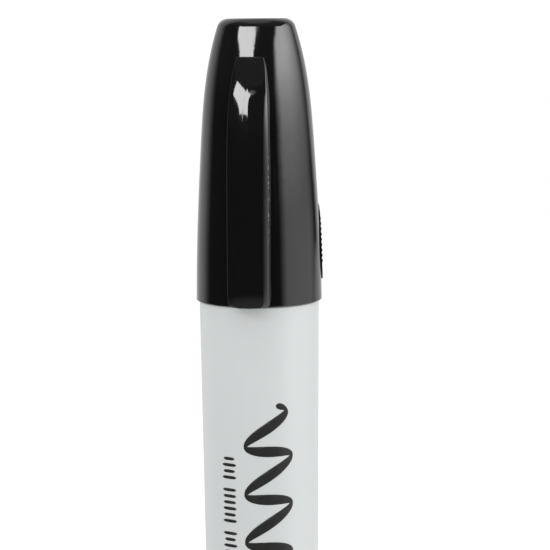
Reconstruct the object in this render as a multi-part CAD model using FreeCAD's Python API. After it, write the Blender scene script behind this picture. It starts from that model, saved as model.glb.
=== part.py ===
import FreeCAD, Part
import math
import os

# A felt tip marker that stands on its flat tail, in millimetres. +Z runs from the tail to the cap's top,
# the pocket clip faces -Y, and the origin is the centre of the tail's flat face.
# Heights on the cap ("h") are measured up from its rim, and "reach" is a distance from the marker's axis.

V = FreeCAD.Vector
ORIGIN = V(0, 0, 0)
UP = V(0, 0, 1)

# Driving dimensions
overall_length = 137.0
cap_length = 38.0
rim_radius = 8.55
shoulder_radius = 8.12
tail_radius = 7.17
cap_wall = 1.15
barrel_wall = 1.22

rim_z = overall_length - cap_length
edge_round = 0.15
press_gap = 0.03      # between two pieces that are pressed together
running_gap = 0.05    # between the cap's pieces and what they slide or turn on
past = 1.0            # how far a cutter runs past what it cuts

# Barrel and tail plug
plug_flange = 2.5
plug_top_z = 11.0
plug_round = 0.6
plug_floor = 1.3
plug_wall = 1.3
plug_arm = 1.0
barrel_bore_top_z = 12.0
barrel_rib_width = 0.9
barrel_ribs = 6

# Front section and nib
mouth_bore_radius = 6.70
spigot_length = 12.0
neck_radius = 7.28
neck_length = 8.5
bead_height = 0.08
bead_h = 4.0
seal_radius = 5.25
seal_top_z = rim_z + 15.5
nose_top_z = rim_z + 19.5
nose_radius = 3.9
vent_width = 0.6
vent_depth = 0.45
nib_radius = 3.0
nib_tip_z = rim_z + 28.8
nib_tail_z = rim_z - 7.0
nib_point = 2.5
chisel_thickness = 1.6
chisel_length = 7.0
chisel_slant = 3.0

# Ink reservoir
core_radius = 5.18
film_thickness = 0.15
reservoir_bottom_z = 14.0
reservoir_top_z = rim_z + 1.0
reservoir_reach = core_radius + film_thickness + running_gap

# Cap: (radius, h) up its outside, as far as its rounded top corner
CAP_SIDE = [(rim_radius, 0.0), (8.36, 8.0), (7.73, 20.2), (7.06, 28.4), (6.19, 33.5), (5.266, 36.92)]
cap_bore_radius = 7.46
cap_bore_top_h = 9.6
cap_ceiling_h = 36.45
cap_ceiling_radius = 3.9
snap_depth = 0.05
snap_h = 2.2
cap_ribs = 8
cap_rib_width = 0.7

# Sealing liner inside the cap
liner_radius = 6.0
liner_wall = 0.62
liner_mouth_h = 10.6
liner_taper_h = 25.0
liner_top_h = 35.6
liner_end_radius = 4.35
liner_peg_radius = 1.5

# Clip: (reach, h) down the middle of its face, and up its back from the tip
CLIP_FACE = [(6.95, 32.85), (8.43, 30.2), (9.31, 28.0), (9.91, 25.65), (10.51, 21.0), (10.88, 15.0),
             (11.25, 9.0), (11.62, 2.0)]
CLIP_TIP = [(11.62, 2.0), (10.75, 0.2), (10.05, 0.2), (9.35, 1.6), (9.35, 2.8), (9.75, 4.6)]
CLIP_BACK = [(9.75, 4.6), (9.40, 12.0), (8.95, 21.0), (8.45, 25.0), (7.45, 27.2)]
# (half width, h) up each side of the clip
CLIP_FLARE = [(2.8, 25.0), (2.62, 27.8), (2.35, 30.2), (1.8, 33.0)]
clip_root_h = 33.0
clip_seat_h = 27.2
clip_seat_reach = 7.45
clip_hinge_reach = 6.55
clip_tip_h = 0.2
clip_tip_corner = 0.8
clip_fall = 0.13      # how much the face falls back towards each side, per mm
clip_edge_chamfer = 0.45
boss_half_width = 1.45
seat_gap = 0.02

# Raised oval pad on the cap's side, with fine ribs across its middle
pad_height = 0.20
pad_rib_height = 0.27
pad_middle_h = 7.85
pad_half_length = 5.25
pad_half_width = 2.15
pad_ribs = 9
pad_rib_width = 0.32
pad_rib_pitch = 0.72
pad_rib_inset = 0.45
pad_turn = 16.0       # from +X, away from the clip
pad_lean = 10.0       # its top leans away from the clip


def spline(points):
    """One smooth edge through a few points."""
    curve = Part.BSplineCurve()
    curve.interpolate(points)
    return curve.toShape()


def chain(points):
    """Straight edges from each point to the next."""
    return [Part.makeLine(a, b) for a, b in zip(points, points[1:])]


def face_of(edges):
    return Part.Face(Part.Wire(Part.__sortEdges__(edges)))


def rz(points, lift=0.0):
    """(radius, height) pairs as points in the XZ plane."""
    return [V(r, 0, h + lift) for r, h in points]


def turn(edges):
    """The solid that a closed outline in the XZ plane sweeps about the marker's axis."""
    return face_of(edges).revolve(ORIGIN, UP, 360)


def lathe(points):
    """A turned solid with a straight-sided outline of (radius, z) pairs."""
    return turn(chain(rz(points + points[:1])))


def disc(radius, z0, z1):
    return Part.makeCylinder(radius, z1 - z0, V(0, 0, z0))


def around(shape, count, first_deg=0.0):
    """Copies of a shape, evenly spaced about the axis, as one compound."""
    copies = []
    for i in range(count):
        copy = shape.copy()
        copy.rotate(ORIGIN, UP, first_deg + 360.0 / count * i)
        copies.append(copy)
    return Part.makeCompound(copies)


def radial_bar(reach0, reach1, width, z0, z1):
    """A block along +X between two reaches."""
    return Part.makeBox(reach1 - reach0, width, z1 - z0, V(reach0, -width / 2, z0))


def round_rings(shape, radius, heights):
    """Rounds the circular edges that lie at the given heights."""
    rings = []
    for edge in shape.Edges:
        box = edge.BoundBox
        flat = box.ZLength < 1e-6
        if flat and any(abs(box.ZMin - z) < 1e-6 for z in heights):
            rings.append(edge)
    return shape.makeFillet(radius, rings)


def make_barrel():
    """The tube: a tapered outside, a cylindrical mouth for the front section, and six centring ribs."""
    body = lathe([(0, plug_flange), (tail_radius, plug_flange), (shoulder_radius, rim_z), (0, rim_z)])
    body = round_rings(body, edge_round, [plug_flange, rim_z])
    mouth_z = rim_z - spigot_length - 1.0
    tail_bore = tail_radius - barrel_wall
    lead_in = 0.3
    bore = lathe([
        (0, plug_flange), (tail_bore + lead_in, plug_flange), (tail_bore, plug_flange + 0.5),
        (tail_bore, barrel_bore_top_z), (mouth_bore_radius, mouth_z), (mouth_bore_radius, rim_z), (0, rim_z),
    ])
    rib = radial_bar(reservoir_reach, tail_radius, barrel_rib_width, reservoir_bottom_z, mouth_z - 2.0)
    return body.cut(bore.cut(around(rib, barrel_ribs)))


def make_tail_plug():
    """A hollow plug: a flush flange, a spigot in the tail's bore, and a cross under the reservoir."""
    spigot = tail_radius - barrel_wall - press_gap
    lead_in, lead_length = 0.5, 1.5
    arm_reach = spigot - 0.9
    stand_reach = 4.0
    hub_radius = 0.9
    low_z = plug_floor - 0.1
    flange = round_rings(disc(tail_radius - press_gap, 0, plug_flange), plug_round, [0])
    body = flange.fuse(disc(spigot, plug_flange, plug_top_z))
    body = body.cut(disc(spigot - plug_wall, plug_floor, plug_top_z))
    cone = lathe([
        (spigot - lead_in, plug_top_z), (spigot + past, plug_top_z),
        (spigot + past, plug_top_z - lead_length), (spigot, plug_top_z - lead_length),
    ])
    arm = radial_bar(0, arm_reach, plug_arm, low_z, plug_top_z)
    arm = arm.fuse(radial_bar(0, stand_reach, plug_arm, plug_top_z, reservoir_bottom_z))
    arms = []
    for quarter in range(4):
        copy = arm.copy()
        copy.rotate(ORIGIN, UP, 90 * quarter)
        arms.append(copy)
    hub = disc(hub_radius, low_z, reservoir_bottom_z)
    return body.cut(cone).fuse(arms + [hub]).removeSplitter()


def make_reservoir_core():
    """The fibre rod, with a blind hole at its top for the nib's tail."""
    core = disc(core_radius, reservoir_bottom_z, reservoir_top_z)
    socket = nib_radius + press_gap
    hole = lathe([
        (0, nib_tail_z), (1.2, nib_tail_z), (socket, nib_tail_z + nib_point),
        (socket, reservoir_top_z + past), (0, reservoir_top_z + past),
    ])
    return core.cut(hole)


def make_reservoir_wrap():
    """The film sleeve around the fibre rod."""
    inner = core_radius + press_gap / 2
    outer = core_radius + film_thickness
    return disc(outer, reservoir_bottom_z, reservoir_top_z).cut(disc(inner, 0, overall_length))


def make_nib_holder():
    """The front section: spigot, neck with a snap bead, seal neck, nose cone, and vents beside the nib."""
    spigot = mouth_bore_radius - press_gap
    spigot_z = rim_z - spigot_length
    neck_z = rim_z + neck_length
    bead_z = rim_z + bead_h
    bead_slope, bead_flat = 0.6, 0.15
    shoulder = seal_radius + 0.65
    body = lathe([
        (0, spigot_z), (spigot - 0.5, spigot_z), (spigot, spigot_z + 1.0), (spigot, rim_z),
        (neck_radius, rim_z), (neck_radius, bead_z - bead_slope),
        (neck_radius + bead_height, bead_z - bead_flat), (neck_radius + bead_height, bead_z + bead_flat),
        (neck_radius, bead_z + bead_slope), (neck_radius, neck_z - 0.4), (neck_radius - 0.4, neck_z),
        (shoulder, neck_z), (seal_radius, neck_z + 0.8), (seal_radius, seal_top_z),
        (nose_radius, nose_top_z), (0, nose_top_z),
    ])
    body = round_rings(body, 2 * edge_round, [seal_top_z])
    body = round_rings(body, edge_round, [nose_top_z])
    pocket_top = reservoir_top_z + 0.2
    pocket = disc(reservoir_reach, spigot_z - past, pocket_top)
    nib_hole = disc(nib_radius + press_gap, spigot_z, nose_top_z + past)
    vent = radial_bar(0, nib_radius + vent_depth, vent_width, pocket_top, nose_top_z + past)
    groove_z, groove_depth = spigot_z + 5.0, 0.25
    groove = disc(mouth_bore_radius, groove_z, groove_z + 1.0)
    groove = groove.cut(disc(spigot - groove_depth, 0, overall_length))
    return body.cut([pocket, nib_hole, around(vent, 4, 45), groove])


def make_nib():
    """A round felt rod with a pointed tail and a chisel cut: two flats that nearly meet, then a slant."""
    tail_flat = 1.1
    rod = lathe([(0, nib_tail_z), (tail_flat, nib_tail_z), (nib_radius, nib_tail_z + nib_point),
                 (nib_radius, nib_tip_z), (0, nib_tip_z)])
    wide = nib_radius + past
    half_edge = chisel_thickness / 2
    base_z = nib_tip_z - chisel_length
    top_z = nib_tip_z + past
    for side in (-1, 1):
        flat = Part.makePolygon([
            V(-wide, side * nib_radius, base_z), V(-wide, side * half_edge, nib_tip_z),
            V(-wide, side * half_edge, top_z), V(-wide, side * wide, top_z), V(-wide, side * wide, base_z),
            V(-wide, side * nib_radius, base_z),
        ])
        rod = rod.cut(Part.Face(flat).extrude(V(2 * wide, 0, 0)))
    slant = Part.makePolygon([
        V(-wide, -wide, nib_tip_z - chisel_slant), V(nib_radius, -wide, nib_tip_z),
        V(nib_radius, -wide, top_z), V(-wide, -wide, top_z), V(-wide, -wide, nib_tip_z - chisel_slant),
    ])
    return rod.cut(Part.Face(slant).extrude(V(0, 2 * wide, 0)))


def make_cap_liner():
    """The sealing cup inside the cap: a lip around the seal neck, and a tapered closed end over the nib."""
    bottom = rim_z + liner_mouth_h
    top = rim_z + liner_top_h
    taper_z = rim_z + liner_taper_h
    inner = liner_radius - liner_wall
    ceiling = top - 0.8
    end_inner = liner_end_radius - 0.55
    lip = seal_radius + running_gap
    lip_low, lip_high, lip_slope = 0.9, 3.8, 0.5
    peg_top = rim_z + cap_ceiling_h - press_gap
    return lathe([
        (liner_radius - 0.25, bottom), (liner_radius, bottom + 0.25), (liner_radius, taper_z),
        (liner_end_radius, top - 0.3), (liner_end_radius - 0.3, top), (liner_peg_radius, top),
        (liner_peg_radius, peg_top), (0, peg_top), (0, ceiling), (end_inner - 0.2, ceiling),
        (end_inner, ceiling - 0.2), (inner, taper_z - lip_slope), (inner, bottom + lip_high + lip_slope),
        (lip, bottom + lip_high), (lip, bottom + lip_low), (liner_radius - 0.4, bottom),
    ])


def cap_outside(extra=0.0):
    """The cap's closed outer form, grown by extra: an ogive side, a tangent rounded corner and a flat top."""
    curve = Part.BSplineCurve()
    curve.interpolate(rz([(r + extra, h) for r, h in CAP_SIDE], rim_z))
    low = curve.EndPoint
    lean = curve.tangent(curve.LastParameter)[0].normalize()
    corner = (overall_length - low.z) / (1 + lean.x)
    centre = low - V(lean.z, 0, -lean.x) * corner
    half_turn = (math.asin(-lean.x) + math.pi / 2) / 2
    middle = centre + V(math.cos(half_turn), 0, math.sin(half_turn)) * corner
    high = V(centre.x, 0, overall_length)
    arc = Part.Arc(low, middle, high).toShape()
    closing = chain([high, V(0, 0, overall_length), V(0, 0, rim_z), V(rim_radius + extra, 0, rim_z)])
    return turn([curve.toShape(), arc] + closing)


def cap_inside():
    """The cap's cavity: a lead-in, a bore with a snap ring, and a tapered end that follows the outside."""
    snap_z = rim_z + snap_h
    bore = cap_bore_radius
    ring = bore - snap_depth
    snap_slope, snap_flat = 0.5, 0.1
    low_z = rim_z - past
    ceiling_z = rim_z + cap_ceiling_h
    start = (bore - 0.5, cap_bore_top_h + 1.6)
    end = (cap_ceiling_radius + 0.53, cap_ceiling_h - 0.65)
    followed = [(r - cap_wall, h) for r, h in CAP_SIDE[2:5]]
    taper = spline(rz([start] + followed + [end], rim_z))
    below = chain([
        V(0, 0, low_z), V(bore + 0.3, 0, low_z), V(bore + 0.3, 0, rim_z), V(bore, 0, rim_z + 0.5),
        V(bore, 0, snap_z - snap_slope), V(ring, 0, snap_z - snap_flat), V(ring, 0, snap_z + snap_flat),
        V(bore, 0, snap_z + snap_slope), V(bore, 0, rim_z + cap_bore_top_h), V(start[0], 0, rim_z + start[1]),
    ])
    above = chain([
        V(end[0], 0, rim_z + end[1]), V(cap_ceiling_radius, 0, ceiling_z), V(0, 0, ceiling_z), V(0, 0, low_z),
    ])
    return turn(below + [taper] + above)


def side_on(points):
    """(reach, h) pairs as points in the YZ plane, with reach towards -Y."""
    return [V(0, -reach, h + rim_z) for reach, h in points]


def make_clip_boss():
    """The block on the cap that the clip's root sits against."""
    top, bottom = (clip_hinge_reach, clip_root_h), (clip_seat_reach, clip_seat_h)
    inside_low = (clip_seat_reach - 0.95, clip_seat_h - 0.9)
    inside_high = (clip_hinge_reach - 0.85, clip_root_h)
    face = Part.Face(Part.makePolygon(side_on([top, bottom, inside_low, inside_high, top])))
    face.translate(V(-boss_half_width, 0, 0))
    return face.extrude(V(2 * boss_half_width, 0, 0))


def make_oval(half_length, half_width):
    """An upright oval prism along +X."""
    ellipse = Part.Ellipse(ORIGIN, half_length, half_width).toShape()
    oval = Part.Face(Part.Wire(ellipse)).extrude(V(0, 0, 2 * rim_radius))
    oval.rotate(ORIGIN, V(0, 1, 0), 90)
    return oval


def make_pad():
    """A low oval pad on the cap's +X side, with fine ribs across it."""
    plate = make_oval(pad_half_length, pad_half_width)
    inner = make_oval(pad_half_length - pad_rib_inset, pad_half_width - pad_rib_inset)
    lows = [pad_rib_pitch * (i - (pad_ribs - 1) / 2) - pad_rib_width / 2 for i in range(pad_ribs)]
    wide = 2 * pad_half_width
    bars = [Part.makeBox(2 * rim_radius, wide, pad_rib_width, V(0, -wide / 2, z)) for z in lows]
    ribs = inner.common(Part.makeCompound(bars))
    for shape in (plate, ribs):
        shape.rotate(ORIGIN, V(1, 0, 0), -pad_lean)
        shape.translate(V(0, 0, rim_z + pad_middle_h))
    pad = [plate.common(cap_outside(pad_height))] + ribs.common(cap_outside(pad_rib_height)).Solids
    for piece in pad:
        piece.rotate(ORIGIN, UP, pad_turn)
    return pad


def make_cap_shell():
    """The cap: an ogive shell with liner ribs inside, the clip's boss at -Y and a ribbed pad near +X."""
    rim_cut = disc(2 * rim_radius, rim_z - past, rim_z + running_gap)
    outside = cap_outside().cut(rim_cut)
    outside = round_rings(outside, edge_round, [rim_z + running_gap])
    rib_low_z, rib_high_z = rim_z + 12.5, rim_z + 24.0
    rib = radial_bar(liner_radius + running_gap, cap_bore_radius, cap_rib_width, rib_low_z, rib_high_z)
    inside = cap_inside().cut(around(rib, cap_ribs, 22.5))
    return outside.fuse([make_clip_boss()] + make_pad()).cut(inside)


def clip_side_half(direction):
    """Half of the clip: its side outline pushed along X and back, so that the face falls to each side."""
    deep = clip_seat_reach - 1.95
    hinge = (clip_hinge_reach, clip_root_h)
    root = [CLIP_BACK[-1], (deep, clip_seat_h), (deep, clip_root_h), hinge, CLIP_FACE[0]]
    edges = [spline(side_on(CLIP_FACE)), spline(side_on(CLIP_BACK))]
    edges += chain(side_on(CLIP_TIP)) + chain(side_on(root))
    span = 4.0
    return face_of(edges).extrude(V(direction * span, span * clip_fall, 0))


def clip_front():
    """The clip's outline from the front, as a prism: narrow at its root, parallel below, round at its tip."""
    wide, bend_h = CLIP_FLARE[0]
    narrow = CLIP_FLARE[-1][0]
    low = rim_z + clip_tip_h
    corner = clip_tip_corner
    inset = corner * (1 - math.sqrt(0.5))
    edges = []
    for side in (-1, 1):
        edges.append(spline([V(side * x, 0, rim_z + h) for x, h in CLIP_FLARE]))
        edges += chain([V(side * wide, 0, rim_z + bend_h), V(side * wide, 0, low + corner)])
        arc = Part.Arc(V(side * wide, 0, low + corner), V(side * (wide - inset), 0, low + inset),
                       V(side * (wide - corner), 0, low))
        edges.append(arc.toShape())
    edges += chain([V(corner - wide, 0, low), V(wide - corner, 0, low)])
    edges += chain([V(-narrow, 0, rim_z + clip_root_h), V(narrow, 0, rim_z + clip_root_h)])
    return face_of(edges).extrude(V(0, -2 * rim_radius, 0))


def front_edges(shape):
    """The edges around the faces that look towards -Y, without the ridge and the root's ledge."""
    faces = []
    for face in shape.Faces:
        u0, u1, v0, v1 = face.ParameterRange
        if face.normalAt((u0 + u1) / 2, (v0 + v1) / 2).y < -0.7:
            faces.append(face)
    edges = [edge for face in faces for edge in face.Edges]
    outline = [edge for edge in edges if sum(edge.isSame(other) for other in edges) == 1]
    return [edge for edge in outline if abs(edge.CenterOfMass.x) > boss_half_width]


def make_pocket_clip():
    """The clip: a springy blade that leaves the cap at its root and hangs clear of it down to the rim."""
    blade = clip_side_half(-1).fuse(clip_side_half(1)).removeSplitter()
    blade = blade.common(clip_front())
    lean = (clip_seat_reach - clip_hinge_reach) / (clip_root_h - clip_seat_h)
    top_h, bottom_h = clip_root_h + past, clip_seat_h - past
    top_reach = clip_hinge_reach + seat_gap - lean * past
    bottom_reach = clip_seat_reach + seat_gap + lean * past
    behind = Part.Face(Part.makePolygon(side_on([
        (top_reach, top_h), (bottom_reach, bottom_h), (0, bottom_h), (0, top_h), (top_reach, top_h),
    ])))
    width = 2 * rim_radius
    behind.translate(V(-width / 2, 0, 0))
    blade = blade.cut(behind.extrude(V(width, 0, 0)))
    return blade.makeChamfer(clip_edge_chamfer, front_edges(blade))


PIECES = {
    "barrel": make_barrel,
    "tail_plug": make_tail_plug,
    "reservoir_core": make_reservoir_core,
    "reservoir_wrap": make_reservoir_wrap,
    "nib_holder": make_nib_holder,
    "nib": make_nib,
    "cap_liner": make_cap_liner,
    "cap_shell": make_cap_shell,
    "pocket_clip": make_pocket_clip,
}

os.makedirs("parts", exist_ok=True)
for name, make in PIECES.items():
    piece = make()
    solids = piece.Solids
    print(name, "solids", len(solids), "valid", piece.isValid(), "volume", round(piece.Volume, 1))
    piece = solids[0] if len(solids) == 1 else piece
    piece.exportStep("parts/" + name + ".step")
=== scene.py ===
import bpy
import math
import numpy as np
from mathutils import Matrix, Vector


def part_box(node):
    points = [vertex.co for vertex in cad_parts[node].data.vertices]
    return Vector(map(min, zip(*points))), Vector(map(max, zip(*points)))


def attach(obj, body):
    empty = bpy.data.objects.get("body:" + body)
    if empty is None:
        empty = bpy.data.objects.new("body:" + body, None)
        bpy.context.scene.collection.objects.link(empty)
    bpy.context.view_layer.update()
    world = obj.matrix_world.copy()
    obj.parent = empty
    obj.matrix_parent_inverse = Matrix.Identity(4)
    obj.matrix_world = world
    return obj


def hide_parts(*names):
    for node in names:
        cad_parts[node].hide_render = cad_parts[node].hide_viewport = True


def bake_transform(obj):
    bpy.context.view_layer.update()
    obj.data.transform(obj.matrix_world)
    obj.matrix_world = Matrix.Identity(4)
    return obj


# A capped felt tip marker that stands on its tail. Units are metres. +Z runs up the marker, and the pocket
# clip faces -Y. "Reach" is a distance from the marker's axis. Azimuths turn from -Y towards +X.

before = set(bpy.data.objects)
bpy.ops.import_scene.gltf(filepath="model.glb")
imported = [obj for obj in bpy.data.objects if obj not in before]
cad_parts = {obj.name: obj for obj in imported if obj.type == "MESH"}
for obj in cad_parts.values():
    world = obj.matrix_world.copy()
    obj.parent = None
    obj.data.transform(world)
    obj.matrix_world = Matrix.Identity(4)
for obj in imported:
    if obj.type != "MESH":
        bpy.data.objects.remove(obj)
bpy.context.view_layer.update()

MM = 0.001

barrel_low, barrel_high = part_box("barrel")
plug_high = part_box("tail_plug")[1]
RIM_Z = barrel_high.z
SHOULDER_RADIUS = barrel_high.x
TAIL_RADIUS = plug_high.x

# The camera stands before the clip, a little to its right, and above the cap's rim
CAMERA_AZIMUTH = 7.7
CAMERA_REACH = 0.270
CAMERA_PITCH = 7.54
CAMERA_ROLL = -0.584
CAMERA_LENS = 130.85
SENSOR = 36.0
AIM_ABOVE_RIM = 3.26 * MM
AIM_TO_RIGHT = 2.18 * MM


# ---------------------------------------------------------------- shapes

def smoothstep(low, high, x):
    """0 at low, 1 at high and a smooth rise between them. Low may be the larger of the two."""
    t = min(1.0, max(0.0, (x - low) / (high - low)))
    return t * t * (3 - 2 * t)


class Spline:
    """A natural cubic curve y(x) through a few points."""

    def __init__(self, points):
        self.x, self.y = np.array(sorted(points), float).T
        n = len(self.x)
        step = np.diff(self.x)
        slope = np.diff(self.y) / step
        system, right = np.eye(n), np.zeros(n)
        for i in range(1, n - 1):
            system[i, i - 1:i + 2] = step[i - 1], 2 * (step[i - 1] + step[i]), step[i]
            right[i] = 6 * (slope[i] - slope[i - 1])
        self.bend = np.linalg.solve(system, right)

    def __call__(self, x):
        i = int(np.clip(np.searchsorted(self.x, x) - 1, 0, len(self.x) - 2))
        h = self.x[i + 1] - self.x[i]
        a, b = (self.x[i + 1] - x) / h, (x - self.x[i]) / h
        curve = ((a ** 3 - a) * self.bend[i] + (b ** 3 - b) * self.bend[i + 1]) * h * h / 6
        return a * self.y[i] + b * self.y[i + 1] + curve


def new_object(name, vertices, faces):
    mesh = bpy.data.meshes.new(name)
    mesh.from_pydata([tuple(v) for v in vertices], [], faces)
    mesh.validate()
    mesh.update()
    mesh.shade_smooth()
    thing = bpy.data.objects.new(name, mesh)
    bpy.context.scene.collection.objects.link(thing)
    return thing


def loft(loops):
    """The vertices and faces of a skin over equal loops of points. Each end is closed as a ladder across its
    loop."""
    size = len(loops[0])
    faces = []
    for k in range(len(loops) - 1):
        for j in range(size):
            n = (j + 1) % size
            faces.append((k * size + j, k * size + n, (k + 1) * size + n, (k + 1) * size + j))
    half = size // 2
    for start, flip in ((0, True), ((len(loops) - 1) * size, False)):
        for j in range(half - 1):
            quad = (start + j, start + j + 1, start + size - 2 - j, start + size - 1 - j)
            faces.append(quad[::-1] if flip else quad)
    return [p for loop in loops for p in loop], faces


def barrel_reach(z):
    """The barrel's radius at a height: it tapers evenly to its tail."""
    along = (z - barrel_low.z) / (barrel_high.z - barrel_low.z)
    return TAIL_RADIUS + (SHOULDER_RADIUS - TAIL_RADIUS) * along


def polar(reach, azimuth, z):
    """A point from its reach, its azimuth in degrees and its height."""
    a = math.radians(azimuth)
    return Vector((reach * math.sin(a), -reach * math.cos(a), z))


# ---------------------------------------------------------------- materials

class Paint:
    """A material with one Principled shader, and short names for the nodes that feed it."""

    def __init__(self, name, **sockets):
        self.material = bpy.data.materials.new(name)
        self.material.use_nodes = True
        self.tree = self.material.node_tree
        self.shader = self.tree.nodes["Principled BSDF"]
        self.place = self.add("ShaderNodeTexCoord").outputs["Object"]
        self.set(**sockets)

    def set(self, **sockets):
        for name, value in sockets.items():
            self.feed(self.shader.inputs[name.replace("_", " ")], value)

    def feed(self, socket, value):
        if isinstance(value, bpy.types.NodeSocket):
            self.tree.links.new(value, socket)
        elif isinstance(value, tuple) and len(value) == 3 and len(socket.default_value) == 4:
            socket.default_value = (*value, 1.0)
        else:
            socket.default_value = value

    def add(self, kind, **settings):
        node = self.tree.nodes.new(kind)
        for name, value in settings.items():
            setattr(node, name, value)
        return node

    def stretched(self, x, y, z):
        node = self.add("ShaderNodeVectorMath", operation="MULTIPLY")
        self.feed(node.inputs[0], self.place)
        node.inputs[1].default_value = (x, y, z)
        return node.outputs[0]

    def noise(self, per_mm, detail=2.0, roughness=0.5, where=None, distortion=0.0):
        node = self.add("ShaderNodeTexNoise")
        self.feed(node.inputs["Vector"], where or self.place)
        node.inputs["Scale"].default_value = per_mm / MM
        node.inputs["Detail"].default_value = detail
        node.inputs["Roughness"].default_value = roughness
        node.inputs["Distortion"].default_value = distortion
        return node.outputs["Fac"]

    def cells(self, per_mm):
        node = self.add("ShaderNodeTexVoronoi")
        self.feed(node.inputs["Vector"], self.place)
        node.inputs["Scale"].default_value = per_mm / MM
        return node.outputs["Distance"]

    def remap(self, value, low, high, to_low=0.0, to_high=1.0):
        node = self.add("ShaderNodeMapRange", interpolation_type="SMOOTHSTEP")
        self.feed(node.inputs["Value"], value)
        for name, number in (("From Min", low), ("From Max", high), ("To Min", to_low), ("To Max", to_high)):
            node.inputs[name].default_value = number
        return node.outputs["Result"]

    def combine(self, first, second, operation="ADD"):
        node = self.add("ShaderNodeMath", operation=operation)
        self.feed(node.inputs[0], first)
        self.feed(node.inputs[1], second)
        return node.outputs[0]

    def mix(self, share, first, second):
        node = self.add("ShaderNodeMix", data_type="RGBA")
        self.feed(node.inputs["Factor"], share)
        self.feed(node.inputs[6], first)
        self.feed(node.inputs[7], second)
        return node.outputs[2]

    def bump(self, height, depth_mm, under=None):
        node = self.add("ShaderNodeBump")
        self.feed(node.inputs["Height"], height)
        node.inputs["Distance"].default_value = depth_mm * MM
        node.inputs["Strength"].default_value = 1.0
        if under is not None:
            self.feed(node.inputs["Normal"], under)
        self.feed(self.shader.inputs["Normal"], node.outputs[0])
        return node.outputs[0]


def gloss_black(name, colour=(0.0030, 0.0030, 0.0034), roughness=(0.045, 0.11), nicked_and_glinting=False):
    """Polished black moulding: faint flow waves, hairline scratches, a little dust and handling haze. One
    with nicks carries small pale nicks where the mesh's wear value says so: partly edge wear, partly a
    painted highlight where small burrs on the edge catch the light."""
    paint = Paint(name, IOR=1.5)
    haze = paint.noise(0.09, detail=5, roughness=0.6)
    hairs = paint.noise(0.9, detail=1, where=paint.stretched(1.0, 1.0, 0.035), distortion=0.6)
    scratch = paint.remap(hairs, 0.70, 0.74)
    dust = paint.remap(paint.cells(0.75), 0.030, 0.012)
    base_colour = paint.mix(dust, colour, (0.05, 0.05, 0.048))
    if nicked_and_glinting:
        # Pale nicks: partly edge wear, partly a painted highlight where small burrs on the edge catch the
        # light
        wear_and_glint = paint.add("ShaderNodeAttribute", attribute_name="wear_and_glint").outputs["Fac"]
        nicks_and_glints = paint.remap(paint.noise(3.2, detail=3, where=paint.stretched(1.0, 1.0, 0.7)), 0.53, 0.62)
        base_colour = paint.mix(paint.combine(nicks_and_glints, wear_and_glint, "MULTIPLY"), base_colour, (0.14, 0.128, 0.098))
    paint.set(Base_Color=base_colour)
    base = paint.remap(haze, 0.35, 0.75, *roughness)
    rough = paint.combine(base, paint.combine(scratch, 0.10, "MULTIPLY"))
    paint.set(Roughness=paint.combine(rough, paint.combine(dust, 0.25, "MULTIPLY")))
    waves = paint.bump(paint.noise(0.16, detail=2), 0.010)
    paint.bump(paint.noise(2.2, detail=3), 0.0006, under=waves)
    return paint.material


def satin_grey():
    """The barrel's light grey plastic: nearly even, with a fine satin grain and faint flow clouds."""
    paint = Paint("barrel_plastic", IOR=1.49)
    clouds = paint.noise(0.05, detail=4, where=paint.stretched(1.0, 1.0, 0.4))
    grain = paint.noise(3.5, detail=3, roughness=0.6)
    tone = paint.remap(clouds, 0.3, 0.7)
    paint.set(Base_Color=paint.mix(tone, (0.485, 0.503, 0.502), (0.505, 0.522, 0.520)))
    smudge = paint.remap(paint.noise(0.12, detail=4, roughness=0.6), 0.4, 0.7, 0.36, 0.45)
    paint.set(Roughness=paint.combine(smudge, paint.remap(grain, 0.3, 0.7, -0.02, 0.03)))
    under = paint.bump(paint.noise(0.25, detail=2), 0.006)
    paint.bump(grain, 0.0012, under=under)
    return paint.material


def white_soft():
    """Natural polyethylene, waxy and slightly see-through."""
    paint = Paint("liner_plastic", IOR=1.51, Subsurface_Weight=0.25, Subsurface_Scale=0.0015)
    tone = paint.remap(paint.noise(0.2, detail=4), 0.3, 0.7)
    paint.set(Base_Color=paint.mix(tone, (0.74, 0.73, 0.69), (0.80, 0.79, 0.76)))
    paint.set(Roughness=paint.remap(paint.noise(0.6, detail=3), 0.3, 0.7, 0.38, 0.52))
    paint.bump(paint.noise(1.2, detail=3), 0.004)
    return paint.material


def felt():
    """The nib: pressed fibres that run along it, black with ink, with greyer streaks of fibre here and there.
    """
    paint = Paint("nib_felt", IOR=1.4, Specular_IOR_Level=0.25)
    fibres = paint.noise(2.6, detail=4, roughness=0.65, where=paint.stretched(1.0, 1.0, 0.12), distortion=0.4)
    blotch = paint.noise(0.35, detail=3)
    fibre_tone = paint.remap(fibres, 0.3, 0.72)
    shade = paint.combine(fibre_tone, paint.remap(blotch, 0.35, 0.7, 0.2, 1.0), "MULTIPLY")
    paint.set(Base_Color=paint.mix(shade, (0.010, 0.010, 0.012), (0.055, 0.053, 0.058)))
    paint.set(Roughness=paint.remap(fibres, 0.3, 0.7, 0.62, 0.9))
    paint.bump(fibres, 0.05)
    return paint.material


def fibre():
    """The reservoir's bonded fibres, soaked with ink."""
    paint = Paint("reservoir_fibre", IOR=1.4)
    strands = paint.noise(3.0, detail=4, where=paint.stretched(1.0, 1.0, 0.08))
    paint.set(Base_Color=paint.mix(paint.remap(strands, 0.3, 0.7), (0.012, 0.012, 0.015), (0.07, 0.07, 0.08)))
    paint.set(Roughness=paint.remap(strands, 0.3, 0.7, 0.6, 0.9))
    paint.bump(strands, 0.06)
    return paint.material


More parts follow.
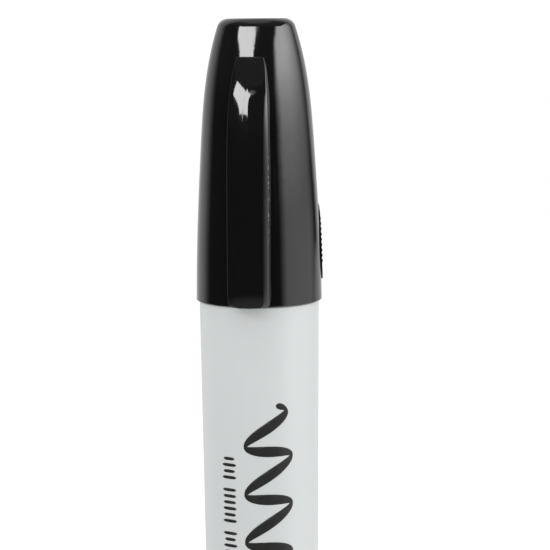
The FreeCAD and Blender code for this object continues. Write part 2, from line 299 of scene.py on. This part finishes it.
def film():
    """The clear-white film around the reservoir, with faint lengthwise creases."""
    paint = Paint("wrap_film", IOR=1.5)
    creases = paint.noise(0.5, detail=3, where=paint.stretched(1.0, 1.0, 0.1), distortion=0.8)
    paint.set(Base_Color=paint.mix(paint.remap(creases, 0.4, 0.7), (0.66, 0.67, 0.69), (0.78, 0.79, 0.80)))
    paint.set(Roughness=paint.remap(creases, 0.3, 0.7, 0.12, 0.3))
    paint.bump(creases, 0.03)
    return paint.material


def print_ink():
    """Screen-printed ink, dark grey and duller than the plastic, slightly thin at places."""
    paint = Paint("print_ink", IOR=1.5, Specular_IOR_Level=0.3)
    thin = paint.remap(paint.noise(0.8, detail=4, roughness=0.65), 0.45, 0.8)
    paint.set(Base_Color=paint.mix(thin, (0.0105, 0.011, 0.010), (0.020, 0.0205, 0.018)))
    paint.set(Roughness=paint.remap(paint.noise(2.5, detail=3), 0.3, 0.7, 0.42, 0.58))
    paint.bump(paint.noise(3.0, detail=3), 0.003)
    return paint.material


def dress(node, material):
    """Gives a CAD node one material."""
    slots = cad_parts[node].data.materials
    slots.clear()
    slots.append(material)


# ---------------------------------------------------------------- pieces

# The clip's blade, in millimetres. Each curve runs along heights above the cap's rim.
CLIP_ROOT_H = 33.0
CLIP_TIP_H = 0.2
# Its reach at the middle of its face and of its back, its half width, and the width of its edge facets
CLIP_FACE = Spline([(0.2, 11.72), (3.6, 11.55), (9.0, 11.25), (15.0, 10.88), (21.0, 10.51), (25.65, 9.91),
                    (28.0, 9.31), (30.2, 8.43), (33.0, 6.78)])
CLIP_BACK = Spline([(0.0, 9.88), (4.6, 9.75), (12.0, 9.40), (21.0, 8.95), (25.0, 8.45), (27.2, 7.50)])
CLIP_WIDTH = Spline([(0.0, 2.76), (8.0, 2.77), (16.0, 2.80), (22.0, 2.74), (25.0, 2.66), (27.8, 2.50),
                     (30.2, 2.27), (32.1, 2.00), (33.0, 1.76)])
CLIP_FACET = Spline([(0.0, 0.80), (9.0, 0.82), (17.0, 0.80), (23.5, 0.64), (28.8, 0.45), (33.0, 0.48)])
CLIP_CURVE = 8.0            # radius of its convex face
CLIP_RIDGE = 0.08           # slope of the low ridge down its middle
CLIP_RIDGE_BLUNT = 0.04     # half width over which the ridge is blunt
CLIP_CORNER = 0.8           # radius of its tip's corners
CLIP_DRAFT = 0.07           # how much its sides spread towards the cap, per mm
CLIP_BACK_EDGE = 0.12       # radius of its back edges
CLIP_HOLLOW = 0.8           # its back follows its face by this share
CLIP_LEAN = (27, 33)        # degrees by which a facet leans, at its inner and outer side
CLIP_SOFT, CLIP_CRISP = 0.55, 0.14      # rounding of its +X and -X edge, as a share of its facet
CLIP_BEVEL_H, CLIP_BEVEL = 3.6, 0.085   # its tip falls back below this height, with its square
CLIP_GRIP_H, CLIP_GRIP_SPAN, CLIP_GRIP = 2.2, 1.0, 0.42     # the bump that grips a pocket
CLIP_FREE_H = 27.2          # the back is free of the cap up to here
CLIP_BURIED_H = (24.8, 27.4)            # where its back runs into the cap
CLIP_THICK, CLIP_THIN = 1.9, 0.9        # how thick the buried part is, and how much it thins
CLIP_THIN_H = 28            # where it starts to thin towards its top
# How many steps half its section takes over its face, its facet, the rounding after that, its side, its back
# edge and its back
FACE_STEPS, FACET_STEPS, ROUND_STEPS, SIDE_STEPS, EDGE_STEPS, BACK_STEPS = 26, 8, 8, 6, 4, 10


def clip_fall(x):
    """How far the clip's face has fallen back at a distance from its middle line."""
    ridge = math.sqrt(x * x + CLIP_RIDGE_BLUNT ** 2) - CLIP_RIDGE_BLUNT
    return x * x / (2 * CLIP_CURVE) + CLIP_RIDGE * ridge


def clip_back(h, front, inset):
    """The reach of the middle of the clip's back at a height."""
    buried = smoothstep(*CLIP_BURIED_H, h)
    grip = CLIP_GRIP * math.exp(-((h - CLIP_GRIP_H) / CLIP_GRIP_SPAN) ** 2)
    free_back = CLIP_BACK(min(h, CLIP_FREE_H)) - grip + inset
    buried_back = front - CLIP_THICK + CLIP_THIN * smoothstep(CLIP_THIN_H, CLIP_ROOT_H, h)
    return free_back * (1 - buried) + buried_back * buried


def clip_half(h, inset, softness):
    """Half of the clip's section at a height, from the middle of its face to the middle of its back, as
    (distance from its middle line, reach): a convex face, a facet that is rounded into the side, and a
    hollow back."""
    front = CLIP_FACE(h) - CLIP_BEVEL * max(0.0, CLIP_BEVEL_H - h) ** 2 - inset
    back = clip_back(h, front, inset)
    rise = max(0.0, CLIP_TIP_H + CLIP_CORNER - h)
    round_in = CLIP_CORNER - math.sqrt(max(0.0, CLIP_CORNER ** 2 - rise ** 2))
    wide = CLIP_WIDTH(h) - round_in - inset
    facet = CLIP_FACET(h)
    face = wide - facet
    half = []
    for k in range(FACE_STEPS + 1):
        x = face * k / FACE_STEPS
        half.append((x, front - clip_fall(x)))

    steep = math.pi / 2 - math.atan(CLIP_DRAFT)
    lean_low, lean_high = (math.radians(lean) for lean in CLIP_LEAN)
    edge = softness * facet
    run = facet - edge * (math.sin(steep) - math.sin(lean_high))
    corner_x, corner_y = half[-1]
    for k in range(1, FACET_STEPS + 1):
        corner_x += run / FACET_STEPS
        lean = lean_low + (lean_high - lean_low) * (k - 0.5) / FACET_STEPS
        corner_y -= run / FACET_STEPS * math.tan(lean)
        half.append((corner_x, corner_y))
    for k in range(1, ROUND_STEPS + 1):
        a = lean_high + (steep - lean_high) * k / ROUND_STEPS
        half.append((corner_x + edge * (math.sin(a) - math.sin(lean_high)),
                     corner_y - edge * (math.cos(lean_high) - math.cos(a))))

    side_x, side_y = half[-1]
    low_y = back - CLIP_HOLLOW * clip_fall(wide) + CLIP_BACK_EDGE
    low_x = side_x + CLIP_DRAFT * max(0.0, side_y - low_y)
    for k in range(1, SIDE_STEPS):
        half.append((side_x + (low_x - side_x) * k / SIDE_STEPS, side_y + (low_y - side_y) * k / SIDE_STEPS))
    for k in range(EDGE_STEPS + 1):
        a = (math.pi / 2) * k / EDGE_STEPS
        half.append((low_x - CLIP_BACK_EDGE * (1 - math.cos(a)), low_y - CLIP_BACK_EDGE * math.sin(a)))
    end_x, end_y = half[-1]
    for k in range(1, BACK_STEPS + 1):
        x = end_x * (1 - k / BACK_STEPS)
        half.append((x, end_y + CLIP_HOLLOW * (clip_fall(end_x) - clip_fall(x))))
    return half


def clip_loop(h, inset):
    """The clip's whole section at a height. Its edge towards +X is softer than the other."""
    left = [(-x, y) for x, y in clip_half(h, inset, CLIP_CRISP)[1:-1]][::-1]
    loop = clip_half(h, inset, CLIP_SOFT) + left
    quarter = len(loop) // 4
    turned = loop[-quarter:] + loop[:-quarter]
    return [Vector((x * MM, -y * MM, RIM_Z + h * MM)) for x, y in turned]


# Where the pale nicks on the clip's edge begin and are fullest, in millimetres: distance from its middle
# line, depth below its face, and distance from a middle height. The nicks are partly wear and partly a
# painted highlight, where small burrs on the edge catch the light.
GLINT_WEAR_OUT = (2.65, 2.73)
GLINT_WEAR_DEPTH = (1.35, 1.05)
GLINT_WEAR_HALF = (7.0, 4.5)
GLINT_WEAR_H = 15.0


def clip_wear_and_glint(point):
    """How much of the pale nicking along the middle of the clip's +X front edge a point of its surface takes.
    The nicking is partly wear and partly a painted highlight.
    """
    x, reach, h = point.x / MM, -point.y / MM, (point.z - RIM_Z) / MM
    depth = CLIP_FACE(min(h, CLIP_ROOT_H)) - reach
    return smoothstep(*GLINT_WEAR_OUT, x) * smoothstep(*GLINT_WEAR_DEPTH, depth) * smoothstep(*GLINT_WEAR_HALF, abs(h - GLINT_WEAR_H))


def clip_sections():
    """Heights up the clip with how far each section is drawn in: close together at both ends, which are
    rounded, and over the bevelled tip."""
    sections = [(CLIP_TIP_H, 0.12), (CLIP_TIP_H + 0.035, 0.035), (CLIP_TIP_H + 0.12, 0.0)]
    for rise, steps in ((1.56, 14), (0.30, 6), (CLIP_ROOT_H - CLIP_TIP_H - 2.10, 84)):
        start = sections[-1][0]
        sections += [(start + rise * k / steps, 0.0) for k in range(1, steps + 1)]
    for below, inset in ((0.09, 0.0), (0.06, 0.005), (0.02, 0.035), (0.0, 0.08)):
        sections.append((CLIP_ROOT_H - below, inset))
    return sections


def make_clip(material):
    """The springy clip, one smooth blade from its root in the cap to its bevelled tip at the rim."""
    vertices, faces = loft([clip_loop(h, inset) for h, inset in clip_sections()])
    clip = new_object("pocket_clip_blade", vertices, faces)
    clip.data.materials.append(material)
    # Where the pale nicks go, which are partly wear and partly a painted highlight
    wear_and_glint = clip.data.attributes.new("wear_and_glint", "FLOAT", "POINT").data
    wear_and_glint.foreach_set("value", [clip_wear_and_glint(v) for v in vertices])
    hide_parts("pocket_clip")
    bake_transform(clip)


INK_LIFT = 0.025 * MM       # how far the ink stands on the barrel, and reaches into it

# The pen stroke: its ends, its middle, one wave's height, half its swing, its slant and its phase at its top;
# its line's least half width, what that gains where it runs across, and the power of the rise to it; its
# points, and how many of them each rounded end takes
STROKE_TOP, STROKE_BOTTOM = RIM_Z - 13.6 * MM, 24.0 * MM
STROKE_AZIMUTH = 15.5
STROKE_WAVE, STROKE_SWING, STROKE_SLANT, STROKE_PHASE = 6.6 * MM, 3.25 * MM, 0.30, 0.6
STROKE_THIN, STROKE_THICK, STROKE_POWER = 0.25 * MM, 0.47 * MM, 1.3
STROKE_POINTS, STROKE_END_POINTS = 620, 7

# The column of ticks: where it stands and starts, their count and spacing, half length and how it varies,
# half height, and which of a group are left out
TICK_AZIMUTH = -25.5
TICK_TOP = RIM_Z - 20.7 * MM
TICK_COUNT, TICK_PITCH = 58, 0.86 * MM
TICK_HALF, TICK_SWING, TICK_VARIETY, TICK_THICK = 0.85 * MM, 0.26 * MM, 1.7, 0.21 * MM
TICK_GROUP, TICK_GAPS = 12, (4, 11)


def ink_strip(centres, half_widths, across=6):
    """A thin closed strip of ink on the barrel, along centres (arc length from -Y, z) with the given half
    widths."""
    loops = []
    for i, (u, z) in enumerate(centres):
        before, after = centres[max(i - 1, 0)], centres[min(i + 1, len(centres) - 1)]
        along = Vector((after[0] - before[0], after[1] - before[1])).normalized()
        side = Vector((along.y, -along.x)) * half_widths[i]
        top, under = [], []
        for k in range(across + 1):
            s = 1 - 2 * k / across
            uk, zk = u + side.x * s, z + side.y * s
            reach = barrel_reach(zk)
            azimuth = math.degrees(uk / SHOULDER_RADIUS)
            top.append(polar(reach + INK_LIFT, azimuth, zk))
            under.append(polar(reach - INK_LIFT, azimuth, zk))
        loops.append(top + under[::-1])
    return loft(loops)


def join_parts(name, parts, material):
    """One object of several strips, which rides on the barrel."""
    vertices, faces = [], []
    for points, polygons in parts:
        start = len(vertices)
        vertices += points
        faces += [tuple(start + i for i in polygon) for polygon in polygons]
    thing = new_object(name, vertices, faces)
    thing.data.materials.append(material)
    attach(thing, "barrel")


def pen_stroke():
    """A long wavy stroke, thick where it runs across and thin at its turns, with rounded ends."""
    middle = math.radians(STROKE_AZIMUTH) * SHOULDER_RADIUS
    centres, widths = [], []
    for i in range(STROKE_POINTS + 1):
        t = i / STROKE_POINTS
        z = STROKE_TOP + (STROKE_BOTTOM - STROKE_TOP) * t
        phase = 2 * math.pi * (STROKE_TOP - z) / STROKE_WAVE + STROKE_PHASE
        size = STROKE_SWING * smoothstep(-0.07, 0.06, t) * (1 - 0.35 * smoothstep(0.55, 1.0, t))
        u = size * math.sin(phase)
        centres.append((middle + u, z + STROKE_SLANT * u))
        from_end = min(1.0, min(i, STROKE_POINTS - i) / STROKE_END_POINTS)
        rounded = math.sqrt(min(1.0, max(0.02, 1 - (1 - from_end) ** 2)))
        widths.append((STROKE_THIN + STROKE_THICK * abs(math.cos(phase)) ** STROKE_POWER) * rounded)
    return ink_strip(centres, widths)


def tick(i):
    """One short level tick of the column, with rounded ends."""
    column, steps = math.radians(TICK_AZIMUTH) * SHOULDER_RADIUS, 8
    half = TICK_HALF + TICK_SWING * abs(math.sin(TICK_VARIETY * i))
    line = [(column - half + 2 * half * k / steps, TICK_TOP - TICK_PITCH * i) for k in range(steps + 1)]
    widths = [TICK_THICK * math.sqrt(max(0.06, 1 - (2 * k / steps - 1) ** 6)) for k in range(steps + 1)]
    return ink_strip(line, widths, across=2)


def make_print(material):
    """The barrel's printed decoration: one long wavy pen stroke, and a column of short ticks beside it."""
    ticks = [tick(i) for i in range(TICK_COUNT) if i % TICK_GROUP not in TICK_GAPS]
    join_parts("barrel_print", [pen_stroke()] + ticks, material)


# ---------------------------------------------------------------- studio

def make_camera():
    """The photograph's camera, which stands above the cap's rim and looks down at it."""
    outward = polar(1.0, CAMERA_AZIMUTH, 0.0)
    right = Vector((math.cos(math.radians(CAMERA_AZIMUTH)), math.sin(math.radians(CAMERA_AZIMUTH)), 0.0))
    aim = Vector((0, 0, RIM_Z + AIM_ABOVE_RIM)) + right * AIM_TO_RIGHT
    height = CAMERA_REACH * math.tan(math.radians(CAMERA_PITCH))
    eye = outward * CAMERA_REACH + Vector((0, 0, RIM_Z + AIM_ABOVE_RIM + height))
    data = bpy.data.cameras.new("camera")
    data.lens, data.sensor_width = CAMERA_LENS, SENSOR
    data.clip_start, data.clip_end = 0.01, 20.0
    camera = bpy.data.objects.new("camera", data)
    bpy.context.scene.collection.objects.link(camera)
    facing = (aim - eye).to_track_quat("-Z", "Y").to_matrix().to_4x4()
    roll = Matrix.Rotation(math.radians(CAMERA_ROLL), 4, "Z")
    camera.matrix_world = Matrix.Translation(eye) @ facing @ roll
    bpy.context.scene.camera = camera


def area_light(name, azimuth, elevation, distance, size, power, target):
    """A soft square light that gives no highlight of its own."""
    data = bpy.data.lights.new(name, "AREA")
    data.shape, data.size, data.energy = "SQUARE", size, power
    lamp = bpy.data.objects.new(name, data)
    bpy.context.scene.collection.objects.link(lamp)
    e = math.radians(elevation)
    place = target + polar(distance * math.cos(e), azimuth, distance * math.sin(e))
    facing = (target - place).to_track_quat("-Z", "Y").to_matrix().to_4x4()
    lamp.matrix_world = Matrix.Translation(place) @ facing
    lamp.visible_glossy = False
    lamp.visible_camera = False


# The softbox up and to the left, as it is seen from the cap: (azimuth, elevation) of its corners. They are
# no real softbox's outline: they were traced back from the outlines of the highlights on the cap and the
# clip, and then adjusted, so the highlights fit the photograph because of them.
KEY_CORNERS = [(-31.8, 17.2), (-33.5, 20.5), (-37.0, 23.2), (-41.0, 25.3), (-45.2, 27.0), (-47.2, 28.0),
               (-45.2, 41.4), (-34.0, 38.4), (-22.6, 34.6), (-18.0, 38.0), (-6.0, 37.0), (4.0, 34.6),
               (6.5, 34.0), (6.4, 32.1), (4.8, 31.0), (3.6, 29.8), (2.5, 28.2), (-0.6, 24.0), (-0.3, 17.2)]
KEY_MIDDLE = (-23, 30)
KEY_GLOW = 15.0
# A dimmer patch beside it, set in the same way: (azimuth, elevation, glow) of its middle, then its corners
FRINGE = [(9, 34, 2.6), (6.4, 32.6, 5.0), (6.5, 34.2, 4.5), (3.5, 36.5, 2.6), (14, 37, 0.8), (19, 34.5, 0.3),
          (15, 32.8, 0.6)]
TENT_RADIUS = 0.45
TENT_CENTRE = Vector((0, 0, RIM_Z + 30 * MM))
TENT_ROWS, TENT_COLUMNS = 112, 288
TENT_LOWEST = -78           # degrees of elevation at its lower edge
PATCH_GAP = 0.02            # how far the softbox and the patch hang inside the tent
WORLD_STRENGTH = 1.16


def studio_glow(azimuth, elevation):
    """How bright the studio looks in the plastic, in a direction from the cap, in degrees: white behind, dark
    in front, a tall softbox at the right that fades downwards, and a pale floor. Its numbers were tuned until
    the tones on the cap, the clip and the barrel met the photograph's."""
    turn = (azimuth - CAMERA_AZIMUTH + 180) % 360 - 180
    # The white surround starts nearer the side low down, where only the barrel mirrors it
    edge = 132 - 10 * smoothstep(-6, 1, elevation) - 24 * smoothstep(-7, -10, elevation)
    behind = 0.86 * max(smoothstep(98, 126, -turn), smoothstep(edge, edge + 18, turn))
    # The softbox's left edge leans over high up, and is softer low down
    start = 36 + 0.55 * max(0.0, elevation - 12) + 0.5 * max(0.0, elevation - 24.5) ** 2
    rise = 20 - 7 * smoothstep(5, 20, elevation)
    # It fades to the right, most of all high up, and ends before the surround
    fade = min(0.72, max(0.40, 0.50 + 0.03 * (elevation + 4)))
    across = smoothstep(start, start + rise, turn) * (1 - fade * smoothstep(70, 125, turn))
    across *= smoothstep(136, 106, turn)
    softbox = across * min(7.4, max(1.65, 2.4 + 0.27 * elevation)) * smoothstep(60, 42, elevation)
    above = 0.2 * smoothstep(34, 44, elevation) + 0.7 * smoothstep(60, 76, elevation)
    below = 0.36 * smoothstep(-24, -54, elevation)
    room = 0.04 + 0.05 * smoothstep(2, 14, elevation)
    return max(room, behind, softbox, above, below)


def glossy_only(thing):
    """Hides a mesh from every ray but glossy reflections."""
    for ray in ("camera", "diffuse", "transmission", "volume_scatter", "shadow"):
        setattr(thing, "visible_" + ray, False)


def tent_point(radius, azimuth, elevation):
    """A point in a direction from the middle of the cap."""
    e = math.radians(elevation)
    return TENT_CENTRE + polar(radius * math.cos(e), azimuth, radius * math.sin(e))


def make_reflection_tent():
    """A tent around the marker, with its glow held at its vertices, and the upper left softbox inside it."""
    vertices, faces, glow = [], [], []
    rows, columns = TENT_ROWS, TENT_COLUMNS
    for r in range(rows + 1):
        elevation = TENT_LOWEST + (90 - TENT_LOWEST) * r / rows
        for c in range(columns):
            azimuth = 360 * c / columns
            vertices.append(tent_point(TENT_RADIUS, azimuth, elevation))
            glow.append(studio_glow(azimuth, elevation))
    for r in range(rows):
        for c in range(columns):
            n = (c + 1) % columns
            faces.append((r * columns + c, (r + 1) * columns + c, (r + 1) * columns + n, r * columns + n))
    tent = new_object("reflection_tent", vertices, faces)
    tent.data.attributes.new("glow", "FLOAT", "POINT").data.foreach_set("value", glow)
    material = bpy.data.materials.new("tent_glow")
    material.use_nodes = True
    tree = material.node_tree
    tree.nodes.clear()
    emit = tree.nodes.new("ShaderNodeEmission")
    read = tree.nodes.new("ShaderNodeAttribute")
    read.attribute_name = "glow"
    tree.links.new(read.outputs["Fac"], emit.inputs["Strength"])
    tree.links.new(emit.outputs[0], tree.nodes.new("ShaderNodeOutputMaterial").inputs[0])
    tent.data.materials.append(material)
    glossy_only(tent)
    key = [(a, e, KEY_GLOW) for a, e in [KEY_MIDDLE] + KEY_CORNERS]
    for name, patch in (("upper_left_softbox", key), ("softbox_fringe", FRINGE)):
        around = len(patch) - 1
        fan = [(0, k + 1, (k + 1) % around + 1) for k in range(around)]
        panel = new_object(name, [tent_point(TENT_RADIUS - PATCH_GAP, a, e) for a, e, _ in patch], fan)
        values = panel.data.attributes.new("glow", "FLOAT", "POINT").data
        values.foreach_set("value", [g for _, _, g in patch])
        panel.data.materials.append(material)
        glossy_only(panel)


def make_floor():
    """A wide, plain pale floor."""
    segments, rings = 96, (0.0, 0.15, 0.4, 1.0, 2.5, 6.0)
    vertices = [polar(r, 360 * s / segments, 0) for r in rings for s in range(segments)]
    faces = []
    for k in range(len(rings) - 1):
        for s in range(segments):
            n = (s + 1) % segments
            faces.append((k * segments + s, (k + 1) * segments + s, (k + 1) * segments + n, k * segments + n))
    floor = new_object("floor", vertices, faces)
    paint = Paint("pale_floor", Roughness=0.9, Specular_IOR_Level=0.1)
    tone = paint.remap(paint.noise(0.004, detail=3), 0.3, 0.7)
    paint.set(Base_Color=paint.mix(tone, (0.86, 0.86, 0.86), (0.88, 0.88, 0.88)))
    floor.data.materials.append(paint.material)
    floor.visible_glossy = False


def make_world():
    """White light from all around, and the white background."""
    world = bpy.data.worlds.new("studio")
    bpy.context.scene.world = world
    world.use_nodes = True
    background = world.node_tree.nodes["Background"]
    background.inputs["Color"].default_value = (1.0, 1.0, 1.0, 1.0)
    background.inputs["Strength"].default_value = WORLD_STRENGTH


make_camera()
make_world()
make_floor()
make_reflection_tent()
middle = Vector((0, 0, RIM_Z))
area_light("upper_left_light", azimuth=-38, elevation=27, distance=0.6, size=0.13, power=0.56, target=middle)
area_light("right_light", azimuth=82, elevation=14, distance=0.7, size=0.40, power=1.2, target=middle)

cap_black = gloss_black("cap_plastic")
plug_black = gloss_black("plug_plastic", roughness=(0.12, 0.22))
holder_black = gloss_black("holder_plastic", colour=(0.006, 0.006, 0.007), roughness=(0.16, 0.26))
dress("cap_shell", cap_black)
dress("barrel", satin_grey())
dress("tail_plug", plug_black)
dress("nib_holder", holder_black)
dress("nib", felt())
dress("cap_liner", white_soft())
dress("reservoir_core", fibre())
dress("reservoir_wrap", film())
make_clip(gloss_black("clip_plastic", nicked_and_glinting=True))
make_print(print_ink())

bpy.context.scene.view_settings.view_transform = "Standard"
